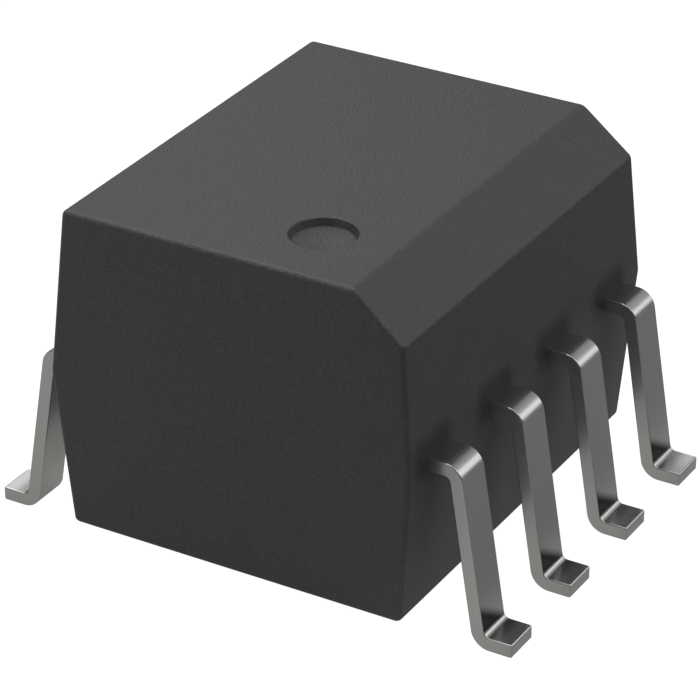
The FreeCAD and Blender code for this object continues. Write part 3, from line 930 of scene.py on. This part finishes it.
def pale_floor():
    """Matt board over a light panel, bright enough to the camera to burn out to plain white."""
    # The panel under it is brighter beside the chip than below it, and fades off to a cooler and
    # weaker light past the feet of leads 1 to 4.
    below_mm = 0.9
    beside_mm = 2.3
    below_level = 0.97
    beside_level = 1.4
    far_side_mm = (-1.6, -2.4)
    far_side_level = 1.18
    fade_mm = (2.6, 3.7)
    material, output = new_material("milky_light_table_top")
    tree = material.node_tree
    path = add(tree, "LightPath")
    place = add(tree, "TexCoord").outputs["Object"]
    across = add(tree, "SeparateXYZ", None, {"Vector": place}).outputs["X"]
    light = add(
        tree,
        "Mix",
        {"data_type": "FLOAT"},
        {"Factor": path.outputs["Is Glossy Ray"]},
        {"A": FLOOR_GLOW, "B": FLOOR_MIRRORED},
    )
    beside = add(
        tree,
        "MapRange",
        {"interpolation_type": "SMOOTHSTEP"},
        {"Value": across},
        {
            "From Min": below_mm * MM,
            "From Max": beside_mm * MM,
            "To Min": below_level,
            "To Max": beside_level,
        },
    )
    far_side = add(
        tree,
        "MapRange",
        {"interpolation_type": "SMOOTHSTEP"},
        {"Value": across},
        {"From Min": far_side_mm[0] * MM, "From Max": far_side_mm[1] * MM, "To Max": far_side_level},
    )
    beside = add(
        tree,
        "Math",
        {"operation": "MAXIMUM"},
        {0: beside.outputs["Result"], 1: far_side.outputs["Result"]},
    )
    light = add(
        tree,
        "Math",
        {"operation": "MULTIPLY"},
        {0: light.outputs["Result"], 1: beside.outputs["Value"]},
    )
    level = add(
        tree,
        "Mix",
        {"data_type": "FLOAT"},
        {"Factor": path.outputs["Is Camera Ray"], "A": light.outputs["Value"]},
        {"B": FLOOR_SEEN},
    )
    fade = add(
        tree,
        "MapRange",
        {"interpolation_type": "SMOOTHSTEP"},
        {"Value": across},
        {"From Min": fade_mm[0] * MM, "From Max": fade_mm[1] * MM},
    )
    unseen = add(tree, "Math", {"operation": "SUBTRACT"}, {1: path.outputs["Is Camera Ray"]}, {0: 1.0})
    fade = add(
        tree,
        "Math",
        {"operation": "MULTIPLY"},
        {0: fade.outputs["Result"], 1: unseen.outputs["Value"]},
    )
    tint = add(tree, "Mix", {"data_type": "RGBA"}, {"Factor": fade.outputs["Value"]})
    tint.inputs["A"].default_value = linear("#fffdfa")
    tint.inputs["B"].default_value = linear("#909396")
    tint = add(
        tree,
        "Mix",
        {"data_type": "RGBA"},
        {"Factor": path.outputs["Is Camera Ray"], "A": tint.outputs["Result"]},
    )
    tint.inputs["B"].default_value = linear("#ffffff")
    glow = add(
        tree,
        "Emission",
        None,
        {"Strength": level.outputs["Result"], "Color": tint.outputs["Result"]},
    )
    board = add(tree, "BsdfDiffuse", None, None, {"Color": linear("#6a6a6a")})
    both = add(tree, "AddShader", None, {0: board.outputs["BSDF"], 1: glow.outputs["Emission"]})
    tree.links.new(both.outputs["Shader"], output.inputs["Surface"])
    return material


floor.data.materials.append(pale_floor())

world = bpy.data.worlds.new("white_surround")
bpy.context.scene.world = world
world.use_nodes = True
world_tree = world.node_tree
world_tree.nodes.clear()
world_path = add(world_tree, "LightPath")
white = linear("#ffffff")
ambient = add(world_tree, "Background", None, None, {"Color": white, "Strength": SKY_DIFFUSE})
mirrored = add(world_tree, "Background", None, None, {"Color": white, "Strength": SKY_GLOSSY})
backdrop = add(world_tree, "Background", None, None, {"Color": white, "Strength": SKY_SEEN})
reflected = add(
    world_tree,
    "MixShader",
    None,
    {
        0: world_path.outputs["Is Glossy Ray"],
        1: ambient.outputs["Background"],
        2: mirrored.outputs["Background"],
    },
)
surround = add(
    world_tree,
    "MixShader",
    None,
    {
        0: world_path.outputs["Is Camera Ray"],
        1: reflected.outputs["Shader"],
        2: backdrop.outputs["Background"],
    },
)
world_output = world_tree.nodes.new("ShaderNodeOutputWorld")
world_tree.links.new(surround.outputs["Shader"], world_output.inputs["Surface"])


def soft_lamp(name, position, width, height, watts, roll=0):
    """A soft box in millimetres that faces the middle of the chip, turned by roll degrees."""
    light = bpy.data.lights.new(name, "AREA")
    light.shape = "RECTANGLE"
    light.size = width * MM
    light.size_y = height * MM
    light.energy = watts
    lamp = bpy.data.objects.new(name, light)
    bpy.context.scene.collection.objects.link(lamp)
    lamp.location = Vector(position) * MM
    aim = Vector((0, 0, LAMP_AIM_HEIGHT * MM)) - lamp.location
    lamp.rotation_euler = aim.to_track_quat("-Z", "Y").to_euler()
    lamp.rotation_euler.rotate_axis("Z", math.radians(roll))
    lamp.visible_camera = False


# The boxes behind the chip show in the leads' shoulders and feet, and the card behind it shows in
# lead 4's foot. The others light the faces of the body.
soft_lamp("back_right_box", (40.3, 38.9, 23.5), width=27, height=34, watts=0.00303, roll=22)
soft_lamp("back_box", (15.2, 53.1, 25.4), width=31, height=41, watts=0.0015)
soft_lamp("back_far_box", (-19.7, 54.2, 18.5), width=36, height=26, watts=0.00052)
soft_lamp("back_card", (1.62, 5.2, 1.3), width=0.75, height=2.6, watts=0.0000052)
soft_lamp("back_left_box", (-38.1, 36.8, 30.2), width=30, height=24, watts=0.00147)
soft_lamp("left_high_box", (-22.3, 9.9, 56.8), width=50, height=50, watts=0.0106)
soft_lamp("left_wide_box", (-26.6, 11.8, 54.5), width=70, height=70, watts=0.0047)
soft_lamp("front_left_box", (-28.4, -29.4, 45.9), width=70, height=70, watts=0.0086)
soft_lamp("overhead_box", (0.0, 0.0, 62.0), width=50, height=50, watts=0.0035)
soft_lamp("right_box", (46.0, 0.0, 40.6), width=40, height=40, watts=0.0038)
soft_lamp("right_high_box", (28.2, 10.3, 54.0), width=40, height=40, watts=0.0039)

# Camera
# It stands where the photograph's did, above the front right corner, with the same field of view.
# The focal length is given in pixels of a picture 700 pixels wide.

CAMERA_AZIMUTH = math.radians(30.14)
CAMERA_ELEVATION = math.radians(28.69)
CAMERA_DISTANCE = 37.0
CAMERA_TARGET = Vector((-0.0365, -0.0017, 1.6132))
FOCAL_PIXELS = 3543.4
PICTURE_PIXELS = 700
SENSOR_WIDTH = 36
camera_data = bpy.data.cameras.new("camera")
camera_data.sensor_width = SENSOR_WIDTH
camera_data.lens = SENSOR_WIDTH * FOCAL_PIXELS / PICTURE_PIXELS
camera_data.clip_start = 1 * MM
camera_data.clip_end = 5000 * MM
camera = bpy.data.objects.new("camera", camera_data)
bpy.context.scene.collection.objects.link(camera)
bpy.context.scene.camera = camera
back = Vector(
    (
        math.sin(CAMERA_AZIMUTH) * math.cos(CAMERA_ELEVATION),
        -math.cos(CAMERA_AZIMUTH) * math.cos(CAMERA_ELEVATION),
        math.sin(CAMERA_ELEVATION),
    )
)
camera.location = (CAMERA_TARGET + back * CAMERA_DISTANCE) * MM
camera.rotation_euler = back.to_track_quat("Z", "Y").to_euler()

bpy.context.scene.view_settings.view_transform = "Standard"
